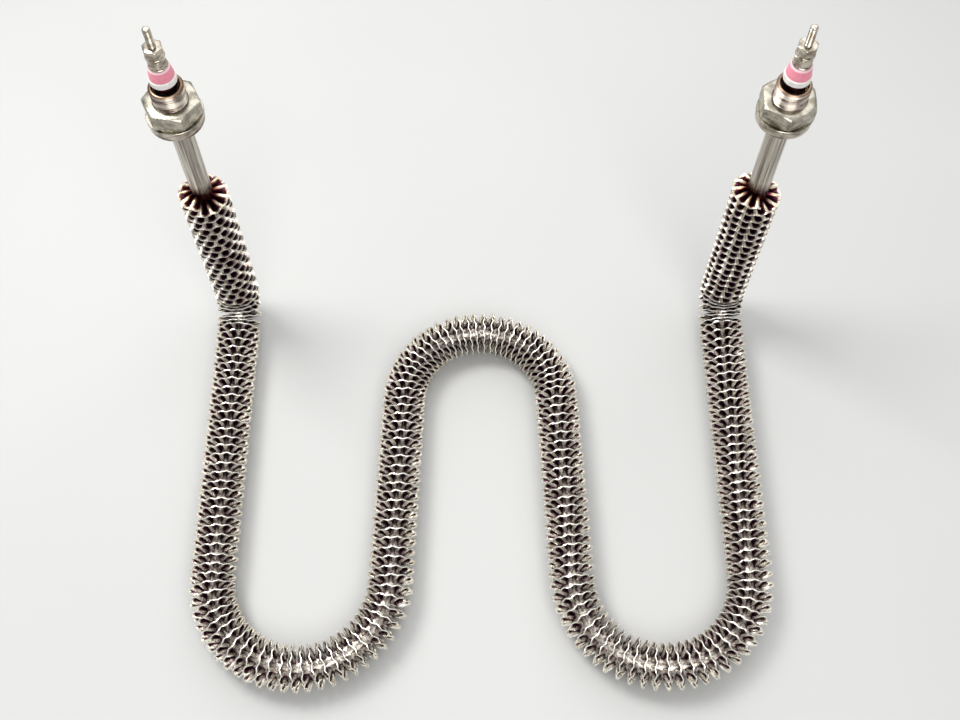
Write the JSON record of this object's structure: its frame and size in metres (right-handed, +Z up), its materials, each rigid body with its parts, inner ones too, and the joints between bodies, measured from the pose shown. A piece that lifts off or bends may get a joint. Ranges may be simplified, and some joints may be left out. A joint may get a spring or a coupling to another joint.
{
  "type": "finned tubular heating element",
  "caption": "Finned tubular air heater: a finned steel tube bent to a flat W, its ends turned up to threaded fittings and insulated stud terminals.",
  "frame": {"origin": "on the surface it lies on, under the middle of its overall length and depth", "axes": "+X across the W from its left end to its right end, +Y from the return bends towards the risers, +Z up along the risers"},
  "size_m": [0.3445, 0.2686, 0.2672],
  "materials": {
    "sheath_steel": "drawn stainless tube, satin",
    "fin_steel": "crimped stainless strip, bright with brown heat tint at the ends",
    "magnesia": "compacted mineral powder",
    "coil_wire": "dark resistance wire",
    "fitting_steel": "turned steel, bright",
    "terminal_steel": "nickel plated steel",
    "white_seal": "white silicone",
    "pink_ceramic": "pink alumina ceramic, fired"
  },
  "bodies": {
    "root": {"sheath": "sheath_steel", "magnesia_filling": "magnesia", "resistance_coil": "coil_wire", "left_riser_fins": "fin_steel", "left_elbow_fins": "fin_steel", "left_outer_leg_fins": "fin_steel", "left_return_bend_fins": "fin_steel", "left_inner_leg_fins": "fin_steel", "left_threaded_bushing": "fitting_steel", "left_mounting_washer": "fitting_steel", "left_mounting_nut": "fitting_steel", "left_seal_ring": "white_seal", "left_insulator": "pink_ceramic", "left_lower_terminal_washer": "terminal_steel", "left_lower_terminal_nut": "terminal_steel", "left_upper_terminal_washer": "terminal_steel", "left_upper_terminal_nut": "terminal_steel", "left_terminal_pin": "terminal_steel", "right_riser_fins": "fin_steel", "right_elbow_fins": "fin_steel", "right_outer_leg_fins": "fin_steel", "right_return_bend_fins": "fin_steel", "right_inner_leg_fins": "fin_steel", "right_threaded_bushing": "fitting_steel", "right_mounting_washer": "fitting_steel", "right_mounting_nut": "fitting_steel", "right_seal_ring": "white_seal", "right_insulator": "pink_ceramic", "right_lower_terminal_washer": "terminal_steel", "right_lower_terminal_nut": "terminal_steel", "right_upper_terminal_washer": "terminal_steel", "right_upper_terminal_nut": "terminal_steel", "right_terminal_pin": "terminal_steel", "top_bend_fins": "fin_steel"}
  },
  "joints": []
}
